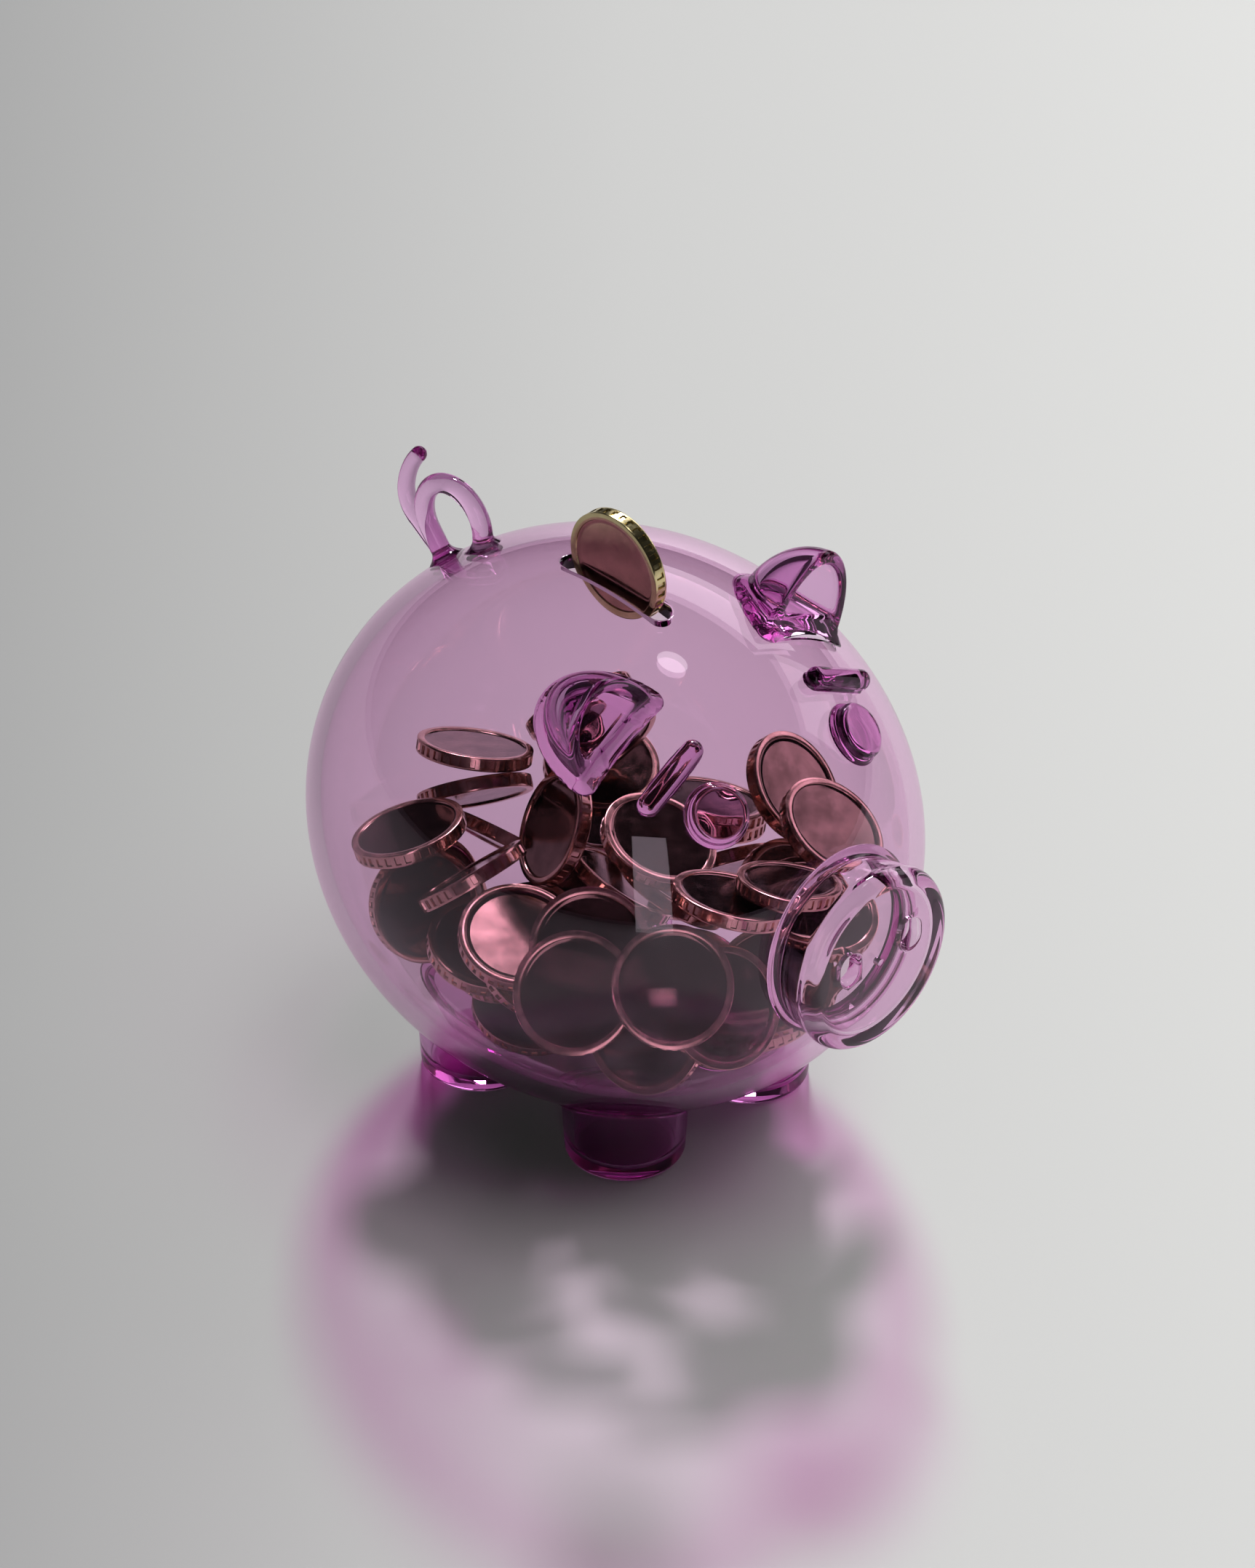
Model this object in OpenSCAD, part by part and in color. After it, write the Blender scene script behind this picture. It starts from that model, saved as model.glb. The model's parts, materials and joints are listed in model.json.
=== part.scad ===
// Blown-glass piggy bank with a heap of coins inside and one coin half-way into the slot.
// The pig looks along +X and its left side is +Y. The feet stand on Z = 0, and the origin
// is under the middle of the whole object.

/* [Body] */
// Length of the round body, without snout and tail
body_length = 127.2; // [100:1:180]
// Width and height of the round body
body_width = 112; // [90:1:150]
// Thickness of the blown shell
wall = 3; // [2:0.1:5]
// Gap between the belly and the ground
belly_clearance = 4.3; // [1:0.5:8]

/* [Coin slot] */
// How far in front of the body's middle the slot's middle is
slot_x = 0.5; // [-6:0.1:6]
// Room beside the coin, on each face
slot_side_gap = 0.85; // [0.4:0.05:1.5]
// Room past the coin's diameter, at each end
slot_end_gap = 2.2; // [0.8:0.1:3]

/* [Coins] */
// Diameter of every coin
coin_d = 23.2; // [18:0.1:28]
// Thickness of every coin at its rim
coin_t = 2.8; // [1.6:0.1:3.2]
// Width of a coin's raised rim
coin_rim = 1.5; // [0.8:0.1:2.5]
// Depth of a coin's sunk faces
coin_recess = 0.35; // [0.1:0.05:0.6]
// Pockets round the edge of the slot coin
coin_pockets = 36; // [24:1:48]
// Depth of a pocket
pocket_depth = 0.25; // [0.1:0.05:0.5]
// Width of a pocket along the coin's thickness
pocket_width = 1.7; // [0.8:0.1:2.4]
// Share of the edge's length that the pockets take
pocket_share = 0.55; // [0.3:0.05:0.7]
// Height of the slot coin's centre above the top of the shell
coin_standing = 4; // [2:0.5:8]
// How far forward of the slot's middle the slot coin sits
coin_forward = 0.6; // [-1:0.1:1]

/* [Heap] */
// How many coins lie in the heap
heap_coins = 44; // [20:1:46]
// Which heap the falling rule makes
heap_seed = 15; // [0:1:40]
// Places tried for each coin before the lowest is taken
heap_tries = 24; // [6:1:30]
// Least lean of a coin in the heap, in degrees
heap_lean_min = 14; // [0:1:30]
// Greatest lean of a coin in the heap, in degrees
heap_lean_max = 68; // [40:1:70]
// Gap kept round a coin in the heap
heap_gap = 0.5; // [0.3:0.05:1]
// Share of a coin's radius that the heap's places stay inside the cavity's outline
heap_inset = 0.75; // [0.6:0.05:1]

/* [Ears] */
// How far in front of the body's middle the ears' open faces are
ear_x = 26; // [18:0.5:34]
// Angle of an ear from straight up
ear_lean = 29.5; // [20:0.5:45]
// Half the width of an ear along the body
ear_half_width = 10.8; // [8:0.1:14]
// Height of an ear above its chord
ear_height = 17.6; // [12:0.1:22]
// How far the dome bulges backwards
ear_depth = 16; // [10:0.1:20]
// Thickness of an ear's dome and frame
ear_wall = 2.8; // [1.5:0.1:4]
// Height of the bar under an ear's opening
ear_bar = 4.4; // [3:0.1:6]

/* [Eyes and brows] */
// Radius of an eye
eye_r = 5.7; // [4:0.1:8]
// How far an eye stands out of the body
eye_out = 2.6; // [1:0.1:4]
// Angle of the eyes from the middle plane, seen from the body's middle
eye_side = 22; // [16:0.5:30]
// Angle of the eyes above the body's middle
eye_up = 34.4; // [26:0.1:40]
// Radius of a brow's bar
brow_r = 2.1; // [1.4:0.1:3]
// Length of a brow between its round ends
brow_length = 13.6; // [8:0.1:18]
// How far in front of the body's middle a brow lies
brow_x = 37; // [30:0.5:42]
// How far a brow's middle is from the pig's middle plane
brow_y = 22.3; // [18:0.1:28]
// How far the brow's centre line is above the body
brow_out = 1; // [0.4:0.1:1.6]

/* [Snout] */
// Radius of the snout's front edge
snout_r = 19.2; // [14:0.1:22]
// Radius of the snout where it leaves the body
snout_neck_r = 17.4; // [12:0.1:20]
// How far the snout's face is in front of the body's front
snout_out = 7.9; // [4:0.1:12]
// Height of the snout's middle above the body's middle
snout_z = 2.7; // [-2:0.1:6]
// Thickness of the snout's wall where it leaves the body
snout_wall = 2.2; // [1.5:0.1:3]
// Round of the snout's front edge
snout_round = 2.8; // [1:0.1:3]
// Distance of the nostrils from the middle plane
nostril_y = 8.2; // [6:0.1:10]
// Height of the nostrils above the snout's middle
nostril_z = 2.5; // [-2:0.1:4]
// Radius of a nostril's round ends
nostril_r = 2.6; // [1.5:0.1:3.5]
// Extra height of a nostril between its round ends
nostril_stretch = 1.8; // [0:0.1:4]

/* [Feet] */
// Distance of the feet in front of and behind the body's middle
foot_x = 20; // [16:0.5:26]
// Distance of the feet from the middle plane
foot_y = 17.2; // [15:0.1:22]
// Radius of a foot where it meets the belly
foot_top_r = 13.4; // [9:0.1:14]
// Radius of a foot at the ground
foot_bottom_r = 11.8; // [8:0.1:14]
// Thickness of a foot's wall
foot_wall = 2; // [1.5:0.1:3]
// Round of a foot's bottom edge
foot_round = 1.6; // [0.6:0.1:1.9]

/* [Tail] */
// Where the tail's seat is along the body, from the body's middle
tail_x = -41; // [-44:0.5:-38]
// Radius of the tail's loop and root
tail_root_r = 2; // [1.6:0.1:2.3]
// Radius of the tail at its tip
tail_tip_r = 1.6; // [1.2:0.1:2]
// Radius of the loop, at the middle of the rod
loop_r = 7.7; // [6.5:0.1:9]
// Length of the loop's front leg, its buried root included
loop_leg = 6; // [5:0.5:8]
// How far the loop tips forwards from square on the body, in degrees
loop_tip = 36.6; // [30:0.1:42]
// How far the loop turns, in degrees
loop_turn = 220; // [205:1:235]
// How far the loop leans towards the pig's right from front to back
loop_lean = 1; // [0:0.1:2]
// Length of the strand's straight run, its buried root included
strand_run = 13; // [11:0.5:15]
// How far the strand tips backwards from square on the body, in degrees
strand_tip = 28.4; // [20:0.1:36]
// Radius of the strand's bend upwards
strand_bend_r = 6; // [5:0.1:8]
// Angle of that bend, in degrees
strand_bend_turn = 65; // [50:1:80]
// Radius of the strand's last sweep forwards
strand_end_r = 13; // [10:0.5:16]
// Angle of that sweep, in degrees
strand_end_turn = 37; // [20:1:50]
// How far the strand's tip leans towards the pig's left
strand_lean = 3; // [2:0.1:4]

/* [Hidden] */
$fn = 96;
GLASS = [0.80, 0.66, 0.78];
DEEP_GLASS = [0.62, 0.20, 0.56];
COPPER = [0.45, 0.31, 0.26];
GOLD = [0.75, 0.66, 0.40];
eps = 0.01;

// The body is a solid of revolution about X: half-length and radius, outside and inside.
body_a = body_length / 2;
body_r = body_width / 2;
cavity_a = body_a - wall;
cavity_r = body_r - wall;
profile_steps = 40;

// The middle of the body in the object's own frame.
snout_face = body_a + snout_out;
body_x = -snout_out / 2;
body_z = body_r + belly_clearance;

coin_r = coin_d / 2;
slot_length = coin_d + 2 * slot_end_gap;
slot_width = coin_t + 2 * slot_side_gap;
snout_bore_r = snout_neck_r - snout_wall;

// Distance of the body's outer surface from its axis at a distance x from its middle.
function radius_at(x, a, r) = r * sqrt(max(0, 1 - pow(x / a, 2)));

function on_body(side, up) =
    let (d = [cos(up) * cos(side), cos(up) * sin(side), sin(up)])
    d / norm([d.x / body_a, d.y / body_r, d.z / body_r]);

function normal_at(p) =
    let (n = [p.x / pow(body_a, 2), p.y / pow(body_r, 2), p.z / pow(body_r, 2)])
    n / norm(n);

// ---------------------------------------------------------------- placing helpers

// Moves its children from the body's middle to their place in the object's frame.
module in_body()
    translate([body_x, 0, body_z])
        children();

// Turns +Z towards the direction d, then moves to p.
module aimed(p, d)
    translate(p)
        rotate([0, acos(d.z / norm(d)), atan2(d.y, d.x)])
            children();

// An egg shape of revolution about X.
module egg(a, r)
    rotate([0, 90, 0])
        rotate_extrude()
            polygon([for (k = [0 : profile_steps])
                let (t = -90 + 180 * k / profile_steps)
                [k % profile_steps == 0 ? 0 : r * cos(t), a * sin(t)]]);

module stadium(length, width)
    union() {
        square([length - width, width], center = true);
        for (end = [-1, 1])
            translate([end * (length - width) / 2, 0])
                circle(d = width);
    }

// ---------------------------------------------------------------- glass pieces

module body_shell()
    color(GLASS)
        in_body()
            difference() {
                egg(body_a, body_r);
                egg(cavity_a, cavity_r);
                translate([slot_x, 0, cavity_r / 2])
                    linear_extrude(height = body_r)
                        stadium(slot_length, slot_width);
                translate([cavity_a / 2, 0, snout_z])
                    rotate([0, 90, 0])
                        cylinder(r = snout_bore_r, h = body_a);
            }

// One ear: the back half of a dome, with a pocket behind a framed opening.
module ear(side)
    color(DEEP_GLASS)
        in_body()
            difference() {
                translate([ear_x, 0, 0])
                    rotate([-side * ear_lean, 0, 0])
                        translate([0, 0, ear_seat])
                            difference() {
                                scale([ear_depth, ear_half_width, ear_height])
                                    sphere(r = 1);
                                translate([0, -ear_half_width * 2, -ear_height * 2])
                                    cube([ear_depth * 2, ear_half_width * 4, ear_height * 4]);
                                difference() {
                                    scale([ear_depth - ear_wall,
                                           ear_half_width - ear_wall,
                                           ear_height - ear_wall])
                                        sphere(r = 1);
                                    translate([-ear_depth, -ear_half_width, ear_bar - 2 * ear_height])
                                        cube([2 * ear_depth, 2 * ear_half_width, 2 * ear_height]);
                                }
                            }
                egg(body_a, body_r);
            }

// Height of an ear's chord above the body's axis, so that its ends lie on the surface.
ear_seat = sqrt(pow(radius_at(ear_x, body_a, body_r), 2) - pow(ear_half_width, 2));

// One eye: a flat disc with a round edge, set square on the body.
module eye(side) {
    p = on_body(side * eye_side, eye_up);
    edge = eye_out / 2;
    color(DEEP_GLASS)
        in_body()
            difference() {
                aimed(p, normal_at(p))
                    rotate_extrude()
                        union() {
                            translate([0, -eye_out])
                                square([eye_r - edge, 2 * eye_out]);
                            translate([0, -eye_out])
                                square([eye_r, eye_out + edge]);
                            translate([eye_r - edge, edge])
                                circle(r = edge);
                        }
                egg(body_a, body_r);
            }
}

// One brow: a straight bar with round ends, half sunk in the body.
module brow(side) {
    r_here = radius_at(brow_x, body_a, body_r);
    p = [brow_x, side * brow_y, sqrt(pow(r_here, 2) - pow(brow_y, 2))];
    middle = p + brow_out * normal_at(p);
    slope = side * atan2(brow_y, p.z);
    color(DEEP_GLASS)
        in_body()
            difference() {
                translate(middle)
                    rotate([-slope, 0, 0])
                        rotate([90, 0, 0])
                            union() {
                                cylinder(r = brow_r, h = brow_length, center = true);
                                for (end = [-1, 1])
                                    translate([0, 0, end * brow_length / 2])
                                        sphere(r = brow_r);
                            }
                egg(body_a, body_r);
            }
}

// The snout: a cup with a flat face, open to the inside of the body.
module snout() {
    back = body_a * sqrt(1 - pow((snout_r + abs(snout_z)) / body_r, 2)) - wall;
    color(GLASS)
        in_body()
            difference() {
                translate([0, 0, snout_z])
                    rotate([0, 90, 0])
                        rotate_extrude()
                            union() {
                                polygon([
                                    [snout_bore_r, back],
                                    [snout_neck_r, back],
                                    [snout_neck_r, body_a - wall],
                                    [snout_r, snout_face - snout_round],
                                    [snout_r - snout_round, snout_face - snout_round],
                                    [snout_r - snout_round, snout_face],
                                    [0, snout_face],
                                    [0, snout_face - wall],
                                    [snout_r - wall, snout_face - wall],
                                    [snout_bore_r, body_a - wall]
                                ]);
                                translate([snout_r - snout_round, snout_face - snout_round])
                                    circle(r = snout_round);
                            }
                egg(body_a, body_r);
                for (side = [-1, 1])
                    translate([snout_face - 2 * wall, side * nostril_y, snout_z + nostril_z])
                        rotate([90, 0, 90])
                            linear_extrude(height = 3 * wall)
                                rotate(90)
                                    stadium(2 * nostril_r + nostril_stretch, 2 * nostril_r);
            }
}

// One foot: a tapered cup under the belly, closed at the ground.
module foot(front, side)
    color(DEEP_GLASS)
        difference() {
            translate([body_x + front * foot_x, side * foot_y, 0])
                rotate_extrude()
                    difference() {
                        union() {
                            polygon([
                                [0, 0],
                                [foot_bottom_r - foot_round, 0],
                                [foot_bottom_r - foot_round, foot_round],
                                [foot_bottom_r, foot_round],
                                [foot_top_r, body_z / 2],
                                [0, body_z / 2]
                            ]);
                            translate([foot_bottom_r - foot_round, foot_round])
                                circle(r = foot_round);
                        }
                        polygon([
                            [-eps, foot_wall],
                            [foot_bottom_r - foot_wall, foot_wall],
                            [foot_top_r - foot_wall, body_z],
                            [-eps, body_z]
                        ]);
                    }
            in_body()
                egg(body_a, body_r);
        }

// The tail: a rod bent into an upright loop, and a thinner one that rises behind it from
// the same root. Both routes start under the body's surface, and they count from the
// tail's seat with +Z square on the body there.
loop_rear_leg = 8;
loop_root = [4.3, 0, -2.9];
strand_root = [-6.9, 1, -2.6];
rod_steps = 12;
rod_sides = 14;
rod_cap = 4;

// A stretch of a route is [length, turn in degrees].
function arc(r, turn) = [r * abs(turn) * PI / 180, turn];

// Splits every stretch of a route into small steps.
function steps_of(stretches) = [for (s = stretches, k = [1 : rod_steps]) s / rod_steps];

// The points of a walk in the XZ plane that drifts evenly along Y.
function walked(p, heading, steps, drift, k = 0) =
    k == len(steps) ? [p] :
    let (middle = heading + steps[k][1] / 2)
    concat([p], walked(
        p + steps[k][0] * [cos(middle), drift, sin(middle)],
        heading + steps[k][1], steps, drift, k + 1));

loop_stretches = [[loop_leg, 0], arc(loop_r, loop_turn), [loop_rear_leg, 0]];
strand_stretches = [
    [strand_run, 0],
    arc(strand_bend_r, -strand_bend_turn),
    arc(strand_end_r, -strand_end_turn)
];

function route_length(stretches, k = 0) =
    k == len(stretches) ? 0 : stretches[k][0] + route_length(stretches, k + 1);

tail_loop = walked(loop_root, 90 - loop_tip, steps_of(loop_stretches),
    -loop_lean / route_length(loop_stretches));
tail_strand = walked(strand_root, 90 + strand_tip, steps_of(strand_stretches),
    strand_lean / route_length(strand_stretches));

// Carries a direction across from one tangent to the next, so that the rod isn't twisted.
function carried(u, tangent) =
    let (v = u - (u * tangent) * tangent)
    v / norm(v);

function frames(tangents, k, u) =
    k == len(tangents) ? [] :
    let (v = carried(u, tangents[k]))
    concat([v], frames(tangents, k + 1, v));

// A round rod along a route, flat at its root and rounded at its tip.
module rod(line, root_r, tip_r) {
    n = len(line);
    last = line[n - 1];
    tangents = [for (k = [0 : n - 1])
        let (d = line[min(k + 1, n - 1)] - line[max(k - 1, 0)]) d / norm(d)];
    across = frames(tangents, 0, [0, 1, 0]);
    tip = [for (j = [1 : rod_cap - 1]) 90 * j / rod_cap];
    centres = concat(line, [for (a = tip) last + tip_r * sin(a) * tangents[n - 1]]);
    sizes = concat(
        [for (k = [0 : n - 1]) root_r + (tip_r - root_r) * k / (n - 1)],
        [for (a = tip) tip_r * cos(a)]);
    rings = len(centres);
    points = concat(
        [for (k = [0 : rings - 1], j = [0 : rod_sides - 1])
            let (
                f = min(k, n - 1),
                u = across[f],
                v = cross(tangents[f], u),
                a = 360 * j / rod_sides
            )
            centres[k] + sizes[k] * (cos(a) * u + sin(a) * v)],
        [last + tip_r * tangents[n - 1]]
    );
    faces = concat(
        [[for (j = [0 : rod_sides - 1]) j]],
        [for (k = [0 : rings - 2], j = [0 : rod_sides - 1], half = [0, 1])
            let (
                a = k * rod_sides + j,
                b = k * rod_sides + (j + 1) % rod_sides
            )
            half == 0 ? [a, b + rod_sides, b] : [a, a + rod_sides, b + rod_sides]],
        [for (j = [0 : rod_sides - 1])
            [(rings - 1) * rod_sides + (j + 1) % rod_sides, (rings - 1) * rod_sides + j,
             rings * rod_sides]]
    );
    polyhedron(points = points, faces = faces);
}

module tail() {
    seat = [tail_x, 0, radius_at(tail_x, body_a, body_r)];
    color(DEEP_GLASS)
        in_body()
            difference() {
                aimed(seat, normal_at(seat))
                    rotate(180) {
                        rod(tail_loop, tail_root_r, tail_root_r);
                        rod(tail_strand, tail_root_r, tail_tip_r);
                    }
                egg(body_a, body_r);
            }
}

// ---------------------------------------------------------------- coins

// A coin about Z with its middle at the origin: a raised rim and two sunk faces.
module coin_blank()
    rotate_extrude()
        polygon([
            [0, -coin_t / 2 + coin_recess],
            [coin_r - coin_rim, -coin_t / 2 + coin_recess],
            [coin_r - coin_rim, -coin_t / 2],
            [coin_r, -coin_t / 2],
            [coin_r, coin_t / 2],
            [coin_r - coin_rim, coin_t / 2],
            [coin_r - coin_rim, coin_t / 2 - coin_recess],
            [0, coin_t / 2 - coin_recess]
        ]);

module slot_coin() {
    pocket_length = coin_d * PI / coin_pockets * pocket_share;
    color(GOLD)
        in_body()
            translate([slot_x + coin_forward, 0, body_r + coin_standing])
                rotate([90, 0, 0])
                    difference() {
                        coin_blank();
                        for (k = [0 : coin_pockets - 1])
                            rotate(360 * k / coin_pockets)
                                translate([coin_r, 0, 0])
                                    cube([2 * pocket_depth, pocket_length, pocket_width], center = true);
                    }
}

// The heap. Every coin is let down straight from above on to the shell and the coins
// before it. Several places and leans are tried for each coin, and the one where it
// comes to rest lowest is kept.
rim_steps = 24;
wide_r = coin_r + heap_gap;
half_t = (coin_t + heap_gap) / 2;
heap_a = cavity_a - heap_inset * coin_r;
heap_b = cavity_r - heap_inset * coin_r;
seed_step = 1000;

// A repeatable number from 0 to 1 for each n.
function noise(n) =
    let (v = sin(n * 78.233) * 43758.5453)
    v - floor(v);

function rim(u, v, n, r) = [for (side = [-1, 1], k = [0 : rim_steps - 1])
    let (a = 360 * k / rim_steps)
    side * coin_t / 2 * n + r * cos(a) * u + r * sin(a) * v];

// A try is [place over the ground, normal, rim for the shell, rim for other coins].
function heap_try(s) =
    let (
        turn = 360 * noise(3 * s),
        lean = heap_lean_min + (heap_lean_max - heap_lean_min) * noise(3 * s + 1),
        way = 360 * noise(5 * s + 2),
        out = sqrt(noise(7 * s + 3)),
        n = [sin(lean) * cos(turn), sin(lean) * sin(turn), cos(lean)],
        u = [cos(lean) * cos(turn), cos(lean) * sin(turn), -sin(lean)],
        v = [-sin(turn), cos(turn), 0]
    )
    [[out * cos(way) * heap_a, out * sin(way) * heap_b],
     n, rim(u, v, n, coin_r), rim(u, v, n, wide_r)];

// Lowest height at which a try clears the shell, or undef where it can't fit.
function height_on_shell(try) =
    let (
        room = [for (p = try[2])
            let (x = try[0].x + p.x, y = try[0].y + p.y)
            1 - pow(x / (cavity_a - heap_gap), 2) - pow(y / (cavity_r - heap_gap), 2)]
    )
    min(room) <= 0 ? undef
        : max([for (k = [0 : len(room) - 1])
            -(cavity_r - heap_gap) * sqrt(room[k]) - try[2][k].z]);

// Heights over the faces of a coin with normal n where the points of a rim pass over it.
function heights_over(n, points, shift, sign) = [for (p = points, face = [-1, 1])
    let (
        f = face * half_t * n,
        x = p.x + shift.x - f.x,
        y = p.y + shift.y - f.y,
        z = -(n.x * x + n.y * y) / n.z
    )
    if (x * x + y * y + z * z <= wide_r * wide_r)
        sign * (f.z + z - p.z) + heap_gap / 2 / n.z];

function height_on_coin(try, coin) =
    let (d = [coin.x - try[0].x, coin.y - try[0].y])
    norm(d) >= 2 * wide_r + coin_t ? -body_r
        : coin.z + max(concat(
            [-body_r],
            heights_over(coin[3], try[3], -d, 1),
            heights_over(try[1], coin[4], d, -1)));

function best_try(i, coins) =
    let (
        found = [for (m = [0 : heap_tries - 1])
            let (
                try = heap_try(1 + heap_seed * seed_step + i * heap_tries + m),
                shell = height_on_shell(try)
            )
            if (shell != undef)
                [max(concat([shell], [for (c = coins) height_on_coin(try, c)])), try]],
        low = min([for (f = found) f[0]]),
        pick = [for (f = found) if (f[0] == low) f[1]][0]
    )
    [pick[0].x, pick[0].y, low, pick[1], pick[3]];

function heap(count, coins = []) =
    len(coins) == count ? coins : heap(count, concat(coins, [best_try(len(coins), coins)]));

module heap_coin(number) {
    coin = heap(number)[number - 1];
    color(COPPER)
        in_body()
            aimed([coin.x, coin.y, coin.z], coin[3])
                coin_blank();
}

// ---------------------------------------------------------------- nodes

function two(n) = n < 10 ? str("0", n) : str(n);

body_shell();
ear(1);  // ear_left
ear(-1);  // ear_right
eye(1);  // eye_left
eye(-1);  // eye_right
brow(1);  // brow_left
brow(-1);  // brow_right
snout();
foot(1, 1);  // foot_front_left
foot(1, -1);  // foot_front_right
foot(-1, 1);  // foot_rear_left
foot(-1, -1);  // foot_rear_right
tail();
slot_coin();
for (k = [1 : heap_coins])
    heap_coin(k);
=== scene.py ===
import json
import math

import bmesh
import bpy
import numpy as np
from mathutils import Matrix, Vector

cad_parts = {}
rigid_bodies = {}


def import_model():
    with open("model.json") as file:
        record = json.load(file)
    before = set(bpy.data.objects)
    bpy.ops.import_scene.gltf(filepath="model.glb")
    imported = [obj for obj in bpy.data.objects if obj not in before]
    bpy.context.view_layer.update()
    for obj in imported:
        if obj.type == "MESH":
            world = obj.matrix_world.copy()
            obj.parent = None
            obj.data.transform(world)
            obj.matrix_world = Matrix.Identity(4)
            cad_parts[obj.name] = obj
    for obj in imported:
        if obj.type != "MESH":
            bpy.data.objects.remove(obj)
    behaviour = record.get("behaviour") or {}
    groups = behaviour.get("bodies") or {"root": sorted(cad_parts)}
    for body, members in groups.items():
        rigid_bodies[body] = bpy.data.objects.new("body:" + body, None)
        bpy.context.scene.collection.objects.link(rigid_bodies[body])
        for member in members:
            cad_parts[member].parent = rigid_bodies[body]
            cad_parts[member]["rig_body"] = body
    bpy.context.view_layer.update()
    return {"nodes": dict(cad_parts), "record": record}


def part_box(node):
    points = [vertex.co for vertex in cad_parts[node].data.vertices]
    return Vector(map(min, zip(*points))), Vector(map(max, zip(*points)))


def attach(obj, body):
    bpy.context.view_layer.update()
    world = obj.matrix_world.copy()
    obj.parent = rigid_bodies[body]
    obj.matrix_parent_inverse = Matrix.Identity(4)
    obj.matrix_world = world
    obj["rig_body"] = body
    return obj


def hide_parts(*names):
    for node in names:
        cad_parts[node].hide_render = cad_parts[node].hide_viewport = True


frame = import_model()

# ------------------------------------------------------------------ sizes
# Metres, in the frame of the CAD. MM turns the named sizes below into metres.
MM = 0.001
TAU = 2 * math.pi

mounts = {m["name"]: Vector(m["pos_m"]) for m in frame["record"]["mounts"]}
shell_low, shell_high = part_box("body_shell")
snout_low, snout_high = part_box("snout")
WALL = 3 * MM
BODY_R = shell_high.y
BODY_X = (mounts["foot_front_left_base"].x + mounts["foot_rear_left_base"].x) / 2
BODY_A = BODY_X - shell_low.x
CENTRE = np.array([BODY_X, 0, shell_low.z + BODY_R])

SLOT_X = mounts["coin_entry"].x
SLOT_LENGTH, SLOT_WIDTH = 27.6 * MM, 4.5 * MM
SLOT_ROUND = 0.7 * MM

SNOUT_R = (snout_high.y - snout_low.y) / 2
SNOUT_Z = (snout_high.z + snout_low.z) / 2 - CENTRE[2]
SNOUT_FACE = snout_high.x - BODY_X
SNOUT_NECK_R, SNOUT_BORE_R, SNOUT_ROUND = 17.4 * MM, 15.2 * MM, 2.8 * MM
SNOUT_FILLET, SNOUT_SUNK = 1.8 * MM, 0.4 * MM
NOSTRIL_Y, NOSTRIL_Z, NOSTRIL_R, NOSTRIL_STRETCH = 8.2 * MM, 2.5 * MM, 2.6 * MM, 1.8 * MM

EAR_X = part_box("ear_left")[1].x - BODY_X
EAR_LEAN = math.radians(29.5)
EAR_SIZE = np.array([16, 10.8, 17.6]) * MM
EAR_WALL, EAR_BAR, EAR_ROUND = 2.8 * MM, 4.4 * MM, 1.1 * MM

EYE_R, EYE_OUT, EYE_ROOT = 5.7 * MM, 2.6 * MM, 1.4 * MM
EYE_SIDE, EYE_UP = math.radians(22), math.radians(34.4)
BROW_R, BROW_LENGTH = 2.1 * MM, 13.6 * MM
BROW_X, BROW_Y, BROW_OUT = 37 * MM, 22.3 * MM, 1 * MM

FOOT_TOP_R, FOOT_BOTTOM_R, FOOT_WALL, FOOT_ROUND = 13.4 * MM, 11.8 * MM, 2 * MM, 1.6 * MM
FOOT_FILLET, FOOT_FILLET_RISE, FOOT_SUNK = 1.3 * MM, 1.6 * MM, 0.5 * MM

TAIL_SEAT = -41 * MM
TAIL_ROOT_R, TAIL_TIP_R = 2 * MM, 1.6 * MM
LOOP_R, LOOP_FRONT, LOOP_Z = 7.7 * MM, 5.2 * MM, 6.2 * MM
LOOP_TURN, LOOP_LEAN = math.radians(220), -1 * MM
LOOP_FRONT_LEG, LOOP_REAR_LEG = 4.5 * MM, 7.5 * MM
STRAND_ROOT = np.array([-4.8, 1, -5.8]) * MM
STRAND_RUN, STRAND_SLOPE, STRAND_LEAN = 12 * MM, math.radians(25), 3 * MM
STRAND_BEND_R, STRAND_TIP_BEND_R, STRAND_TIP_TURN = 6 * MM, 13 * MM, math.radians(37)

COIN_R, COIN_T, COIN_RIM, COIN_RECESS = 11.6 * MM, 2.8 * MM, 1.5 * MM, 0.35 * MM
COIN_POCKETS, POCKET_DEPTH = 36, 0.35 * MM
# Each coin of the heap is turned this much further about its axis, in radians.
COIN_TURN = 2.4

# How deep a fused piece is sunk in the wall of the body.
SUNK = 0.6 * MM
# The sinking is worked out again this many times, because the surface curves.
SINKING_STEPS = 6


# ------------------------------------------------------------------ the body's surface
def radius_at(x, a=BODY_A, r=BODY_R):
    return r * np.sqrt(np.maximum(0, 1 - (x / a) ** 2))


def front_at(radius, a=BODY_A, r=BODY_R):
    """Distance in front of the body's middle where its surface has this radius."""
    return a * np.sqrt(np.maximum(0, 1 - (radius / r) ** 2))


def gradient(points):
    return points / np.array([BODY_A, BODY_R, BODY_R]) ** 2


def height(points):
    """How far points, counted from the body's middle, stand out of its surface."""
    slope = gradient(points)
    level = (points * slope).sum(-1)
    return (level - 1) / (1 + np.sqrt(level)) * np.sqrt(level) / np.linalg.norm(slope, axis=-1)


def normal_at(points):
    g = gradient(points)
    return g / np.linalg.norm(g, axis=-1, keepdims=True)


def sunk_in_wall(points, up=None, depth=SUNK):
    """Brings points that are deeper than depth up to it, along up or the surface's normal."""
    for _ in range(SINKING_STEPS):
        normal = normal_at(points)
        way = normal if up is None else np.asarray(up) / (normal @ up)[..., None]
        deep = np.minimum(height(points) + depth, 0)
        points = points - deep[..., None] * way
    return points


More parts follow.
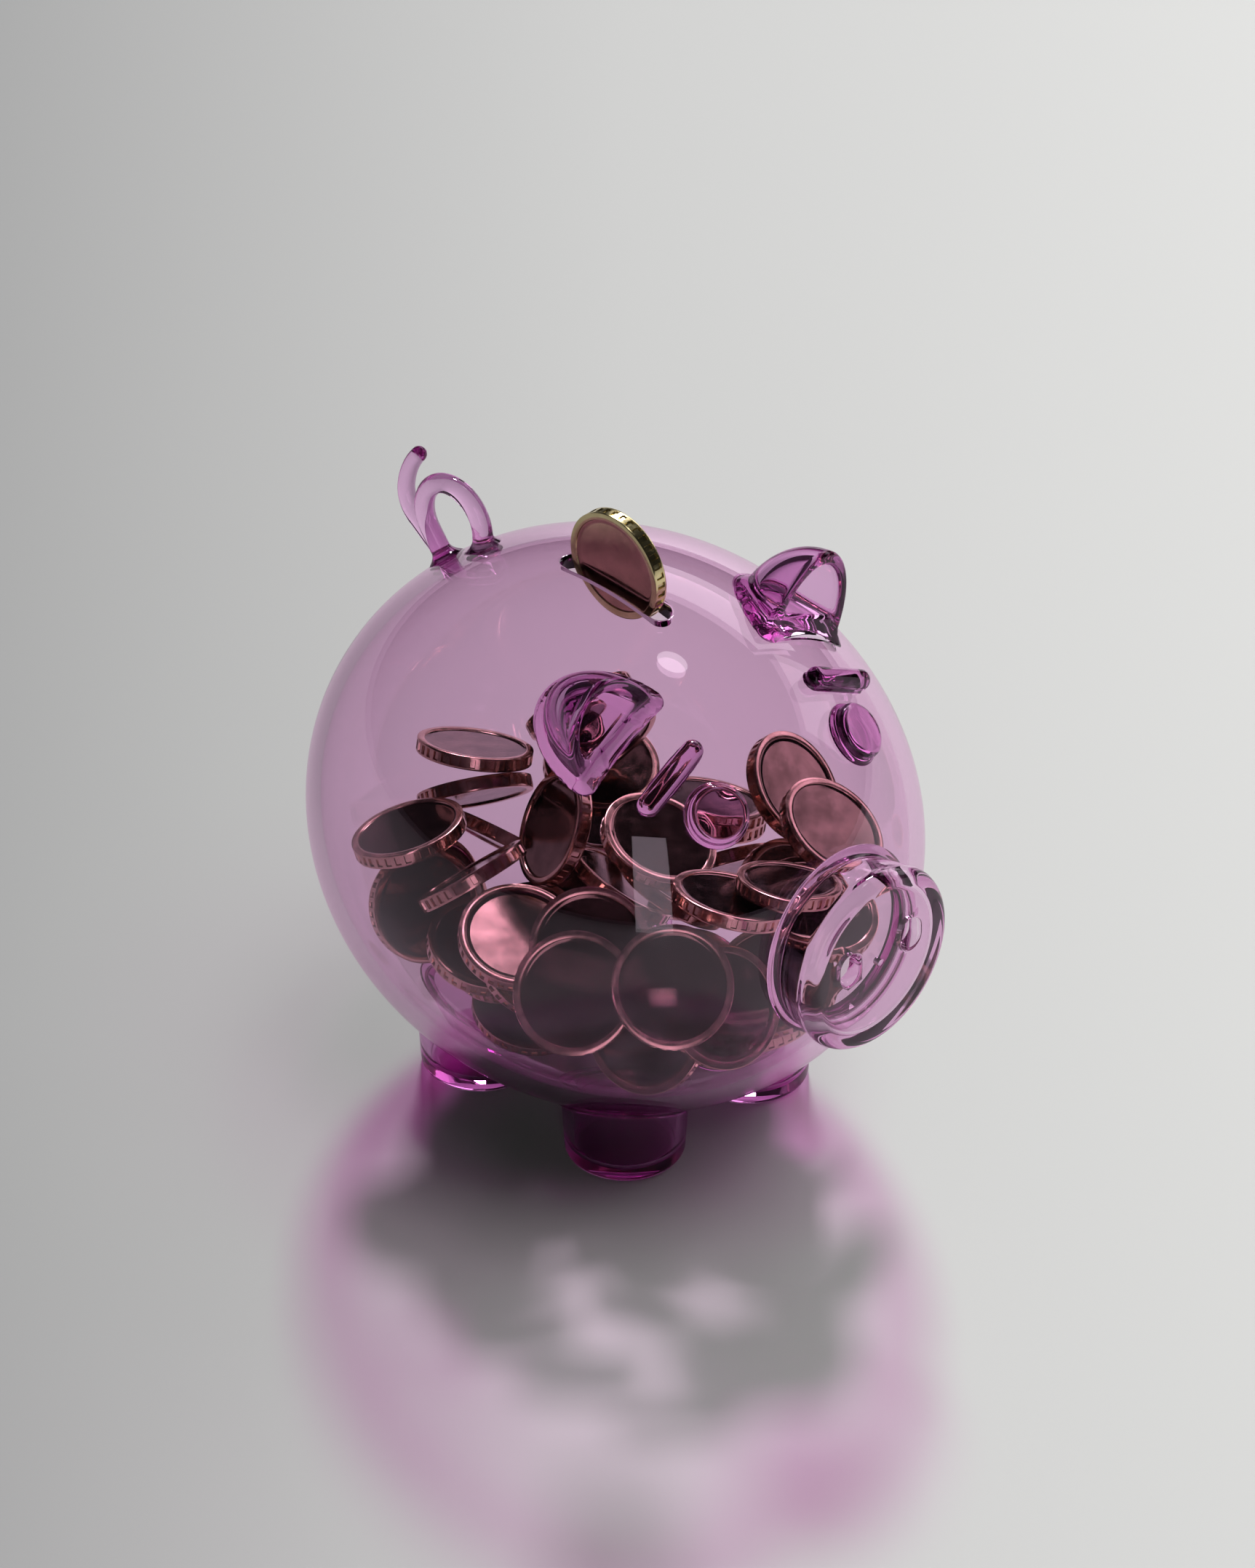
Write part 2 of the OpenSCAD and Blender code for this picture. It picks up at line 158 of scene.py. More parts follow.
def flared(points, normals, reach, rise):
    """Spreads the foot of a piece over the surface, as a fillet of fused glass."""
    up = normal_at(points)
    along = normals - (normals * up).sum(-1, keepdims=True) * up
    size = np.linalg.norm(along, axis=-1, keepdims=True)
    along = np.where(size > 0.2, along / np.maximum(size, 1e-9), 0)
    near = np.clip(1 - height(points) / rise, 0, 1)
    return points + along * (reach * near ** 2)[..., None]


# ------------------------------------------------------------------ meshes
def grid_faces(rows, columns, first=0, wrap=True):
    faces = []
    for i in range(rows - 1):
        for j in range(columns if wrap else columns - 1):
            k = (j + 1) % columns
            a, b = first + i * columns, first + (i + 1) * columns
            faces.append((a + j, a + k, b + k, b + j))
    return faces


def lofted(rings):
    """A closed skin over a stack of rings; its first and last rings are closed at their middles."""
    rings = np.asarray(rings, float)
    rows, columns = rings.shape[:2]
    points = np.concatenate([rings.reshape(-1, 3), rings[:1].mean(1), rings[-1:].mean(1)])
    faces = grid_faces(rows, columns)
    first, last = rows * columns, rows * columns + 1
    for j in range(columns):
        k = (j + 1) % columns
        faces.append((first, k, j))
        faces.append((last, (rows - 1) * columns + j, (rows - 1) * columns + k))
    return points, faces


def mesh_from(name, points, faces, smooth_angle=35):
    mesh = bpy.data.meshes.new(name)
    mesh.from_pydata([tuple(p) for p in points], [], faces)
    work = bmesh.new()
    work.from_mesh(mesh)
    bmesh.ops.remove_doubles(work, verts=work.verts, dist=1e-7)
    bmesh.ops.recalc_face_normals(work, faces=work.faces)
    work.to_mesh(mesh)
    work.free()
    mesh.shade_smooth()
    mesh.set_sharp_from_angle(angle=math.radians(smooth_angle))
    return mesh


def placed(name, data):
    """A new object in the scene that shows a mesh, a lamp or a camera."""
    made = bpy.data.objects.new(name, data)
    bpy.context.scene.collection.objects.link(made)
    return made


def glass_piece(name, mesh, material, node):
    """A glass object of the pig's body that stands in for one CAD node."""
    made = placed(name, mesh)
    mesh.materials.clear()
    mesh.materials.append(material)
    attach(made, PIG)
    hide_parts(node)


def fused(node, stacks, reach, rise, up=None, smooth_angle=35):
    """A glass piece that is fused to the body.
    It is skins over stacks of rings, which are counted from the body's middle."""
    name = "glass_" + node
    points, faces = [], []
    for rings in stacks:
        skin, skin_faces = lofted(rings)
        faces += [tuple(len(points) + i for i in face) for face in skin_faces]
        points.extend(skin)
    rough = mesh_from(name + "_rough", points, faces)
    points = np.array([v.co for v in rough.vertices], float)
    normals = np.array([v.normal for v in rough.vertices], float)
    faces = [tuple(f.vertices) for f in rough.polygons]
    bpy.data.meshes.remove(rough)
    points = sunk_in_wall(flared(points, normals, reach, rise), up) + CENTRE
    mesh = mesh_from(name, points, faces, smooth_angle)
    glass_piece(name, mesh, deep_glass, node)


def circle(steps):
    angle = np.arange(steps) * TAU / steps
    return np.stack([np.cos(angle), np.sin(angle)], -1)


def cut(target, cutters):
    """The target's mesh with the cutters' meshes taken away."""
    shown = [placed(mesh.name, mesh) for mesh in [target] + cutters]
    for cutter in shown[1:]:
        modifier = shown[0].modifiers.new("cut", "BOOLEAN")
        modifier.operation = "DIFFERENCE"
        modifier.solver = "EXACT"
        modifier.object = cutter
    bpy.context.view_layer.update()
    seen = shown[0].evaluated_get(bpy.context.evaluated_depsgraph_get())
    result = bpy.data.meshes.new_from_object(seen)
    for made in shown:
        bpy.data.objects.remove(made)
    return result


def from_x_circles(profile, steps):
    """Rings about an axis along X from a profile of (distance along X, radius)."""
    ring = circle(steps)
    return [np.stack([np.full(steps, x), r * ring[:, 0], r * ring[:, 1]], -1) for x, r in profile]


def smoothed_by_form(mesh, angle=40):
    """Sets the round surfaces' normals from their formula, so that no facet shows in the glass."""
    mesh.shade_smooth()
    mesh.set_sharp_from_angle(angle=math.radians(angle))
    corner_normals = np.zeros(len(mesh.loops) * 3, np.float32)
    mesh.corner_normals.foreach_get("vector", corner_normals)
    corner_normals = corner_normals.reshape(-1, 3)
    spots = np.array([v.co for v in mesh.vertices], float) - CENTRE
    inner = np.array([BODY_A - WALL, BODY_R - WALL, BODY_R - WALL])
    outside = np.abs(height(spots)) < 0.01 * MM
    level = ((spots / inner) ** 2).sum(-1)
    inside = np.abs(level - 1) < 0.0004
    outward = normal_at(spots)
    inward = -spots / inner ** 2
    inward /= np.linalg.norm(inward, axis=-1, keepdims=True)
    for face in mesh.polygons:
        own = list(face.vertices)
        if outside[own].all():
            corner_normals[list(face.loop_indices)] = outward[own]
        elif inside[own].all():
            corner_normals[list(face.loop_indices)] = inward[own]
    mesh.normals_split_custom_set([tuple(n) for n in corner_normals])


# ------------------------------------------------------------------ materials
def node_material(name):
    made = bpy.data.materials.new(name)
    made.use_nodes = True
    made.node_tree.nodes.clear()
    return made, made.node_tree.nodes, made.node_tree.links


def noise_at(nodes, links, scale, detail=3, stretch=(1, 1, 1)):
    place = nodes.new("ShaderNodeTexCoord")
    mapping = nodes.new("ShaderNodeMapping")
    mapping.inputs["Scale"].default_value = stretch
    texture = nodes.new("ShaderNodeTexNoise")
    texture.inputs["Scale"].default_value = scale
    texture.inputs["Detail"].default_value = detail
    links.new(place.outputs["Object"], mapping.inputs["Vector"])
    links.new(mapping.outputs["Vector"], texture.inputs["Vector"])
    return texture.outputs["Fac"]


def ramp(nodes, links, factor, stops):
    made = nodes.new("ShaderNodeValToRGB")
    elements = made.color_ramp.elements
    elements[0].position, elements[0].color = stops[0][0], (*stops[0][1], 1)
    elements[1].position, elements[1].color = stops[-1][0], (*stops[-1][1], 1)
    for position, colour in stops[1:-1]:
        elements.new(position).color = (*colour, 1)
    links.new(factor, made.inputs["Fac"])
    return made.outputs["Color"]


def bump(nodes, links, relief, distance, strength=1):
    made = nodes.new("ShaderNodeBump")
    made.inputs["Strength"].default_value = strength
    made.inputs["Distance"].default_value = distance
    links.new(relief, made.inputs["Height"])
    return made.outputs["Normal"]


def glass_material(name, thin, thick, shade, shade_edge, wave):
    """Blown glass. The tint drifts slowly over the surface, and its skin is very slightly wavy.
    Light from a lamp passes straight through, tinted, and more so where it grazes the surface."""
    made, nodes, links = node_material(name)
    out = nodes.new("ShaderNodeOutputMaterial")
    tint = ramp(nodes, links, noise_at(nodes, links, 9), [(0.3, thin), (0.7, thick)])
    skin = bump(nodes, links, noise_at(nodes, links, 28, 1), wave)
    glass = nodes.new("ShaderNodeBsdfGlass")
    glass.inputs["IOR"].default_value = 1.46
    rough = nodes.new("ShaderNodeMapRange")
    rough.inputs["To Min"].default_value = 0
    rough.inputs["To Max"].default_value = 0.012
    links.new(noise_at(nodes, links, 60, 4), rough.inputs["Value"])
    links.new(rough.outputs["Result"], glass.inputs["Roughness"])
    links.new(tint, glass.inputs["Color"])
    links.new(skin, glass.inputs["Normal"])
    grazing = nodes.new("ShaderNodeLayerWeight")
    grazing.inputs["Blend"].default_value = 0.35
    through = ramp(nodes, links, grazing.outputs["Facing"], [(0.25, shade), (0.95, shade_edge)])
    clear = nodes.new("ShaderNodeBsdfTransparent")
    links.new(through, clear.inputs["Color"])
    path = nodes.new("ShaderNodeLightPath")
    mix = nodes.new("ShaderNodeMixShader")
    links.new(path.outputs["Is Shadow Ray"], mix.inputs["Fac"])
    links.new(glass.outputs["BSDF"], mix.inputs[1])
    links.new(clear.outputs["BSDF"], mix.inputs[2])
    links.new(mix.outputs["Shader"], out.inputs["Surface"])
    return made


def metal_material(name, bright, dark, rough_low, rough_high):
    """Struck and handled metal: cloudy toning, patchy roughness and fine scratches."""
    made, nodes, links = node_material(name)
    out = nodes.new("ShaderNodeOutputMaterial")
    shader = nodes.new("ShaderNodeBsdfPrincipled")
    shader.inputs["Metallic"].default_value = 1
    colour = ramp(nodes, links, noise_at(nodes, links, 180, 5), [(0.35, bright), (0.75, dark)])
    links.new(colour, shader.inputs["Base Color"])
    rough = nodes.new("ShaderNodeMapRange")
    rough.inputs["From Min"].default_value = 0.3
    rough.inputs["From Max"].default_value = 0.7
    rough.inputs["To Min"].default_value = rough_low
    rough.inputs["To Max"].default_value = rough_high
    links.new(noise_at(nodes, links, 420, 6), rough.inputs["Value"])
    links.new(rough.outputs["Result"], shader.inputs["Roughness"])
    scratches = noise_at(nodes, links, 700, 3, (1, 0.08, 1))
    links.new(bump(nodes, links, scratches, 0.003 * MM, 0.3), shader.inputs["Normal"])
    links.new(shader.outputs["BSDF"], out.inputs["Surface"])
    return made


clear_glass = glass_material("clear_pink_glass", (0.968, 0.862, 0.948), (0.958, 0.838, 0.932),
                             (0.985, 0.92, 0.975), (0.84, 0.50, 0.77), 0.05 * MM)
deep_glass = glass_material("deep_pink_glass", (0.94, 0.76, 0.92), (0.92, 0.70, 0.89),
                            (0.90, 0.62, 0.86), (0.62, 0.18, 0.54), 0.03 * MM)
dark_copper = metal_material("toned_copper", (0.24, 0.16, 0.135), (0.10, 0.065, 0.055), 0.06, 0.14)
copper = metal_material("worn_copper", (0.64, 0.38, 0.29), (0.42, 0.25, 0.19), 0.08, 0.18)
bright_copper = metal_material("rubbed_copper", (0.72, 0.48, 0.40), (0.45, 0.28, 0.23), 0.12, 0.25)
gold = metal_material("pale_gold", (0.80, 0.68, 0.38), (0.60, 0.47, 0.24), 0.14, 0.28)

PIG = "piggy_bank"


# ------------------------------------------------------------------ glass pieces
def make_body_shell():
    steps, rows = 192, 96
    latitudes = np.linspace(-math.pi / 2, math.pi / 2, rows + 1)[1:-1]
    skins = []
    for a, r, name in ((BODY_A, BODY_R, "outer"), (BODY_A - WALL, BODY_R - WALL, "inner")):
        profile = [(a * math.sin(t), r * math.cos(t)) for t in latitudes]
        points, faces = lofted(from_x_circles(profile, steps))
        points[-2], points[-1] = (-a, 0, 0), (a, 0, 0)
        skins.append(mesh_from(name, points + CENTRE, faces))
    bore_back, bore_front = BODY_A * 0.6, BODY_A * 1.2
    bore = [(bore_back, SNOUT_BORE_R), (bore_front, SNOUT_BORE_R)]
    points, faces = lofted(from_x_circles(bore, 128))
    bore_mesh = mesh_from("bore", points + CENTRE + np.array([0, 0, SNOUT_Z]), faces)
    shell = cut(skins[0], [skins[1], bore_mesh, slot_cutter()])
    smoothed_by_form(shell)
    glass_piece("glass_body", shell, clear_glass, "body_shell")


def stadium_outline(length, width, steps):
    """Points round a slot shape, with the direction out of it at each point."""
    points, ways = [], []
    for end in (1, -1):
        for k in range(steps + 1):
            a = math.pi * (k / steps - 0.5 + (end < 0))
            way = (math.cos(a), math.sin(a))
            points.append((end * (length - width) / 2 + width / 2 * way[0], width / 2 * way[1]))
            ways.append(way)
    return np.array(points), np.array(ways)


def slot_cutter():
    """The coin slot, with an edge that is rounded where it meets the outside of the shell."""
    outline, ways = stadium_outline(SLOT_LENGTH, SLOT_WIDTH, 24)
    shift = SLOT_X - BODY_X

    def ring(spread, drop):
        flat = outline + ways * spread
        top = np.sqrt(np.maximum(0, radius_at(flat[:, 0] + shift) ** 2 - flat[:, 1] ** 2))
        return np.stack([flat[:, 0] + shift, flat[:, 1], top + drop], -1)

    rings = [ring(0, -9 * MM), ring(0, -SLOT_ROUND * 2), ring(0, -SLOT_ROUND)]
    for k in range(1, 7):
        t = k * math.pi / 12
        rings.append(ring(SLOT_ROUND * (1 - math.cos(t)), SLOT_ROUND * (math.sin(t) - 1)))
    rings.append(ring(SLOT_ROUND, 4 * MM))
    points, faces = lofted(rings)
    return mesh_from("slot", points + CENTRE, faces)


def make_snout():
    steps = 128
    ring = circle(steps)

    def at(radius, x):
        """A ring of this radius about the snout's axis; x is one number or one for each point."""
        return np.stack([np.broadcast_to(x, steps), radius * ring[:, 0],
                         radius * ring[:, 1] + SNOUT_Z], -1)

    def surface(radius):
        return front_at(np.hypot(radius * ring[:, 0], radius * ring[:, 1] + SNOUT_Z))

    edge = SNOUT_FACE - SNOUT_ROUND
    neck = BODY_A - WALL
    inner_front = SNOUT_R - WALL
    back = surface(SNOUT_NECK_R)
    rings = []
    for s in np.linspace(0, 1, 26) ** 1.6:
        x = back - SNOUT_SUNK + (edge - back + SNOUT_SUNK) * s
        swell = np.clip((x - neck) / (edge - neck), 0, 1)
        radius = SNOUT_NECK_R + (SNOUT_R - SNOUT_NECK_R) * swell
        near = np.clip(1 - (x - back) / SNOUT_FILLET, 0, 1)
        rings.append(at(radius + SNOUT_FILLET * near ** 2, x))
    for t in np.linspace(0, math.pi / 2, 13)[1:]:
        radius = SNOUT_R - SNOUT_ROUND + SNOUT_ROUND * math.cos(t)
        rings.append(at(radius, edge + SNOUT_ROUND * math.sin(t)))
    for s in (0.85, 0.6, 0.3, 0.05):
        rings.append(at((SNOUT_R - SNOUT_ROUND) * s, SNOUT_FACE))
    inner_face = SNOUT_FACE - WALL
    turn = 1.6 * MM
    for s in (0.05, 0.3, 0.6, 0.85):
        rings.append(at((inner_front - turn) * s, inner_face))
    for t in np.linspace(0, math.pi / 2, 9):
        rings.append(at(inner_front - turn + turn * math.sin(t),
                        inner_face - turn + turn * math.cos(t)))
    inner_back = surface(SNOUT_BORE_R)
    for s in np.linspace(0, 1, 10)[1:]:
        x = (inner_face - turn) * (1 - s) + (inner_back - SNOUT_SUNK) * s
        rings.append(at(inner_front * (1 - s) + SNOUT_BORE_R * s, x))
    rings = np.array(rings)
    points = rings.reshape(-1, 3)
    faces = grid_faces(len(rings), steps)
    last = (len(rings) - 1) * steps
    faces += [(last + j, last + (j + 1) % steps, (j + 1) % steps, j) for j in range(steps)]
    cup = mesh_from("cup", points + CENTRE, faces)
    snout = cut(cup, [nostril_cutter(side) for side in (-1, 1)])
    snout.shade_smooth()
    snout.set_sharp_from_angle(angle=math.radians(35))
    glass_piece("glass_snout", snout, clear_glass, "snout")


def nostril_cutter(side):
    outline, ways = stadium_outline(2 * NOSTRIL_R + NOSTRIL_STRETCH, 2 * NOSTRIL_R, 16)
    lip = 0.5 * MM
    profile = [(0, -2 * WALL), (0, -lip)]
    profile += [(lip * (1 - math.cos(t)), lip * (math.sin(t) - 1))
                for t in np.linspace(0, math.pi / 2, 6)[1:]]
    profile += [(lip, WALL)]
    rings = []
    for spread, x in profile:
        flat = outline + ways * spread
        rings.append(np.stack([np.full(len(flat), SNOUT_FACE + x), side * NOSTRIL_Y + flat[:, 1],
                               SNOUT_Z + NOSTRIL_Z + flat[:, 0]], -1))
    points, faces = lofted(rings)
    return mesh_from("nostril", points + CENTRE, faces)


def side_name(side):
    return "left" if side > 0 else "right"


def ray_to_ellipse(ways, centre_z, half_y, half_z):
    """How far each way in the YZ plane runs from (0, centre_z) to an ellipse about the origin."""
    a = (ways[:, 0] / half_y) ** 2 + (ways[:, 1] / half_z) ** 2
    b = centre_z * ways[:, 1] / half_z ** 2
    c = (centre_z / half_z) ** 2 - 1
    return (-b + np.sqrt(b * b - a * c)) / a


def make_ear(side):
    steps = 96
    ways = circle(steps)
    depth, half_y, half_z = EAR_SIZE
    middle = (EAR_BAR + half_z - EAR_WALL) / 2
    reach = ray_to_ellipse(ways, middle, half_y, half_z)
    rim = np.stack([reach * ways[:, 0], middle + reach * ways[:, 1]], -1)

    def pocket(share, spread):
        """Outline of the pocket at one depth, where its ellipse has shrunk to this share."""
        y, z = (half_y - EAR_WALL) * share + spread, (half_z - EAR_WALL) * share + spread
        floor = EAR_BAR - spread
        centre_z = (floor + z) / 2
        round_way = ray_to_ellipse(ways, centre_z, y, z)
        down = np.where(ways[:, 1] < -1e-6, (floor - centre_z) / np.minimum(ways[:, 1], -1e-6), 1)
        both = (round_way ** -10.0 + np.maximum(down, 1e-6) ** -10.0) ** (-0.1)
        return np.stack([both * ways[:, 0], centre_z + both * ways[:, 1]], -1)

    def at(outline, x):
        return np.concatenate([np.full((steps, 1), x), outline], 1)

    rings = []
    for t in np.linspace(math.pi / 2, 0.07, 40)[1:]:
        rings.append(at(rim * math.cos(t), -depth * math.sin(t)))
    for t in np.linspace(0, math.pi / 2, 7):
        share = 1 - EAR_ROUND / half_z * (1 - math.cos(t))
        rings.append(at(rim * share, EAR_ROUND * (math.sin(t) - 1)))
    for s in (0.35, 0.7):
        rings.append(at(rim * (1 - EAR_ROUND / half_z) * (1 - s) + pocket(1, EAR_ROUND) * s, 0))
    for t in np.linspace(0, math.pi / 2, 7):
        rings.append(at(pocket(1, EAR_ROUND * (1 - math.sin(t))), -EAR_ROUND * (1 - math.cos(t))))
    least = EAR_BAR / (half_z - EAR_WALL) + 0.03
    for t in np.linspace(0, 1, 22)[1:]:
        share = 1 - (1 - least) * t ** 2.2
        x = -(depth - EAR_WALL) * math.sqrt(1 - share ** 2)
        rings.append(at(pocket(share, 0), min(x, -EAR_ROUND)))
    seat = math.sqrt(radius_at(EAR_X) ** 2 - half_y ** 2)
    turn = np.array(Matrix.Rotation(-side * EAR_LEAN, 3, "X"))
    rings = (np.array(rings) + np.array([0, 0, seat])) @ turn.T + np.array([EAR_X, 0, 0])
    fused("ear_" + side_name(side), [rings], 1.8 * MM, 2.0 * MM, turn @ np.array([0, 0, 1]), 50)


def aimed(way):
    """A turn that takes +Z to a direction."""
    return np.array(Vector((0, 0, 1)).rotation_difference(Vector(way)).to_matrix())


def make_eye(side):
    side_angle = side * EYE_SIDE
    way = np.array([math.cos(EYE_UP) * math.cos(side_angle),
                    math.cos(EYE_UP) * math.sin(side_angle), math.sin(EYE_UP)])
    spot = way / np.linalg.norm(way / np.array([BODY_A, BODY_R, BODY_R]))
    edge = EYE_OUT / 2
    profile = [(EYE_R * 0.5, -EYE_ROOT), (EYE_R * 0.9, -EYE_ROOT)]
    profile += [(EYE_R, z) for z in np.linspace(-EYE_ROOT, edge, 22)]
    profile += [(EYE_R - edge + edge * math.cos(t), edge + edge * math.sin(t))
                for t in np.linspace(0, math.pi / 2, 11)[1:]]
    profile += [(EYE_R * s, EYE_OUT) for s in (0.55, 0.3, 0.1)]
    steps = 72
    ring = circle(steps)
    rings = np.array([np.stack([r * ring[:, 0], r * ring[:, 1], np.full(steps, z)], -1)
                      for r, z in profile])
    rings = rings @ aimed(normal_at(spot)).T + spot
    fused("eye_" + side_name(side), [rings], 0.7 * MM, 0.9 * MM)


def make_brow(side):
    spot = np.array([BROW_X, side * BROW_Y, math.sqrt(radius_at(BROW_X) ** 2 - BROW_Y ** 2)])
    middle = spot + BROW_OUT * normal_at(spot)
    slope = side * math.atan2(BROW_Y, spot[2])
    steps = 64
    ring = circle(steps)
    half = BROW_LENGTH / 2
    caps = np.linspace(0.08, math.pi / 2, 12)
    profile = [(-half - BROW_R * math.cos(t), BROW_R * math.sin(t)) for t in caps]
    profile += [(y, BROW_R) for y in np.linspace(-half, half, 20)[1:-1]]
    profile += [(half + BROW_R * math.cos(t), BROW_R * math.sin(t)) for t in caps[::-1]]
    rings = np.array([np.stack([r * ring[:, 0], np.full(steps, y), r * ring[:, 1]], -1)
                      for y, r in profile])
    turn = np.array(Matrix.Rotation(-slope, 3, "X"))
    fused("brow_" + side_name(side), [rings @ turn.T + middle], 0.7 * MM, 0.8 * MM)


def make_foot(node):
    place = mounts[node + "_base"]
    steps = 96
    ring = circle(steps)

    def surface(radius):
        x = place.x - BODY_X + radius * ring[:, 0]
        y = place.y + radius * ring[:, 1]
        return CENTRE[2] - np.sqrt(radius_at(x) ** 2 - y ** 2)

    def at(radius, z):
        return np.stack([place.x + radius * ring[:, 0], place.y + radius * ring[:, 1],
                         np.broadcast_to(z, steps)], -1)

    widen_to = CENTRE[2] / 2

    def outer(z):
        share = np.clip((z - FOOT_ROUND) / (widen_to - FOOT_ROUND), 0, 1)
        return FOOT_BOTTOM_R + (FOOT_TOP_R - FOOT_BOTTOM_R) * share

    rings = [at(FOOT_BOTTOM_R * s, 0) for s in (0.1, 0.5, 0.8)]
    for t in np.linspace(0, math.pi / 2, 8):
        rings.append(at(FOOT_BOTTOM_R - FOOT_ROUND + FOOT_ROUND * math.sin(t),
                        FOOT_ROUND * (1 - math.cos(t))))
    top = surface(FOOT_TOP_R * 0.97)
    for s in 1 - np.linspace(1, 0, 30) ** 1.5:
        z = FOOT_ROUND + (top + FOOT_SUNK - FOOT_ROUND) * s
        near = np.clip(1 - (top - z) / FOOT_FILLET_RISE, 0, 1)
        rings.append(at(outer(z) + FOOT_FILLET * near ** 2, z))
    inner_top = surface(FOOT_TOP_R - FOOT_WALL)
    for s in np.linspace(1, 0, 14):
        z = FOOT_WALL * 2 + (inner_top + FOOT_SUNK - FOOT_WALL * 2) * s
        rings.append(at(outer(z) - FOOT_WALL, z))
    inner_r = FOOT_BOTTOM_R - FOOT_WALL
    for t in np.linspace(0, math.pi / 2, 8)[1:]:
        rings.append(at(inner_r - FOOT_WALL + FOOT_WALL * math.cos(t),
                        FOOT_WALL * (2 - math.sin(t))))
    rings += [at(inner_r * s, FOOT_WALL) for s in (0.5, 0.1)]
    points, faces = lofted(rings)
    points = sunk_in_wall(points - CENTRE) + CENTRE
    mesh = mesh_from("glass_" + node, points, faces)
    glass_piece("glass_" + node, mesh, deep_glass, node)


def walked(start, heading, stretches, lean, steps=24):
    """The points of a walk in the XZ plane by stretches of (length, turn).
    The walk leans evenly along Y."""
    drift = lean / sum(length for length, _ in stretches)
    points = [np.array(start)]
    for length, turn in stretches:
        for _ in range(steps):
            middle = heading + turn / steps / 2
            step = np.array([math.cos(middle), drift, math.sin(middle)])
            points.append(points[-1] + step * length / steps)
            heading += turn / steps
    return np.array(points)


def arc(radius, turn):
    return radius * abs(turn), turn


def rod_rings(line, root_r, tip_r, sides=32):
    """A round rod along a line of points, rounded at its tip."""
    tangents = np.gradient(line, axis=0)
    tangents /= np.linalg.norm(tangents, axis=1)[:, None]
    across = np.array([0.0, 1.0, 0.0])
    ring = circle(sides)
    rings = []
    for k, (spot, tangent) in enumerate(zip(line, tangents)):
        across = across - across.dot(tangent) * tangent
        across /= np.linalg.norm(across)
        other = np.cross(tangent, across)
        radius = root_r + (tip_r - root_r) * k / (len(line) - 1)
        rings.append(spot + radius * (ring[:, :1] * across + ring[:, 1:] * other))
    for t in np.linspace(0, math.pi / 2 - 0.15, 8)[1:]:
        spot = line[-1] + tip_r * math.sin(t) * tangents[-1]
        rings.append(spot + tip_r * math.cos(t) * (ring[:, :1] * across + ring[:, 1:] * other))
    return np.array(rings)


def make_tail():
    seat = np.array([TAIL_SEAT, 0, radius_at(TAIL_SEAT)])
    loop_line = walked([LOOP_FRONT, 0, LOOP_Z - LOOP_FRONT_LEG], math.pi / 2,
                       [(LOOP_FRONT_LEG, 0), arc(LOOP_R, LOOP_TURN), (LOOP_REAR_LEG, 0)], LOOP_LEAN)
    strand_line = walked(STRAND_ROOT, math.pi - STRAND_SLOPE,
                         [(STRAND_RUN, 0), arc(STRAND_BEND_R, STRAND_SLOPE - math.pi / 2),
                          arc(STRAND_TIP_BEND_R, -STRAND_TIP_TURN)], STRAND_LEAN)
    loop = rod_rings(loop_line, TAIL_ROOT_R, TAIL_ROOT_R) + seat
    strand = rod_rings(strand_line, TAIL_ROOT_R, TAIL_TIP_R) + seat
    fused("tail", [loop, strand], 1.6 * MM, 2.0 * MM)


# ------------------------------------------------------------------ coins
def coin_mesh(name, face_material, edge_material):
    """One coin about Z: rounded rim, sunk faces, and pockets all round its edge."""
    inside_pitch = np.array([0, 0.21, 0.26, 0.5, 0.74, 0.79])
    is_pocket = np.array([0, 0, 1, 1, 1, 0])
    columns = COIN_POCKETS * len(inside_pitch)
    pitches = np.arange(COIN_POCKETS)[:, None] + inside_pitch[None, :]
    angle = (pitches * TAU / COIN_POCKETS).ravel()
    in_pocket = np.tile(is_pocket, COIN_POCKETS)
    ring = np.stack([np.cos(angle), np.sin(angle)], -1)
    half = COIN_T / 2
    sunk = half - COIN_RECESS
    soft = 0.18 * MM
    floor_r = COIN_R - COIN_RIM
    half_profile = [
        (COIN_R * 0.15, sunk, 0), (COIN_R * 0.5, sunk, 0), (floor_r - 0.9 * MM, sunk, 0),
        (floor_r - 0.15 * MM, sunk, 0), (floor_r, sunk + 0.08 * MM, 0),
        (floor_r + 0.1 * MM, half - 0.05 * MM, 0), (floor_r + 0.25 * MM, half, 0),
        (COIN_R - soft, half, 0), (COIN_R - soft * 0.3, half - soft * 0.3, 0),
        (COIN_R, half - soft, 0), (COIN_R, half * 0.64, 0), (COIN_R, half * 0.55, 1),
    ]
    profile = half_profile + [(r, -z, p) for r, z, p in reversed(half_profile)]
    rings = []
    for r, z, pocket in profile:
        radius = r - POCKET_DEPTH * pocket * in_pocket
        rings.append(np.stack([radius * ring[:, 0], radius * ring[:, 1], np.full(columns, z)], -1))
    points, faces = lofted(rings)
    mesh = mesh_from(name, points, faces, smooth_angle=30)
    mesh.materials.append(face_material)
    mesh.materials.append(edge_material)
    for f in mesh.polygons:
        f.material_index = int(math.hypot(f.center.x, f.center.y) > floor_r)
    return mesh


def place_of(node):
    """Middle and axis of the disc that a CAD node is."""
    spots = np.array([v.co for v in frame["nodes"][node].data.vertices], float)
    middle = (spots.min(0) + spots.max(0)) / 2
    axis = np.linalg.svd(spots - middle, full_matrices=False)[2][2]
    return middle, axis if axis[2] >= 0 else -axis


def make_coin(node, mesh, body, turn):
    middle, axis = place_of(node)
    made = placed("struck_" + node, mesh)
    made.matrix_world = (Matrix.Translation(middle) @ Matrix(aimed(axis)).to_4x4()
                         @ Matrix.Rotation(turn, 4, "Z"))
    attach(made, body)
    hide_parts(node)


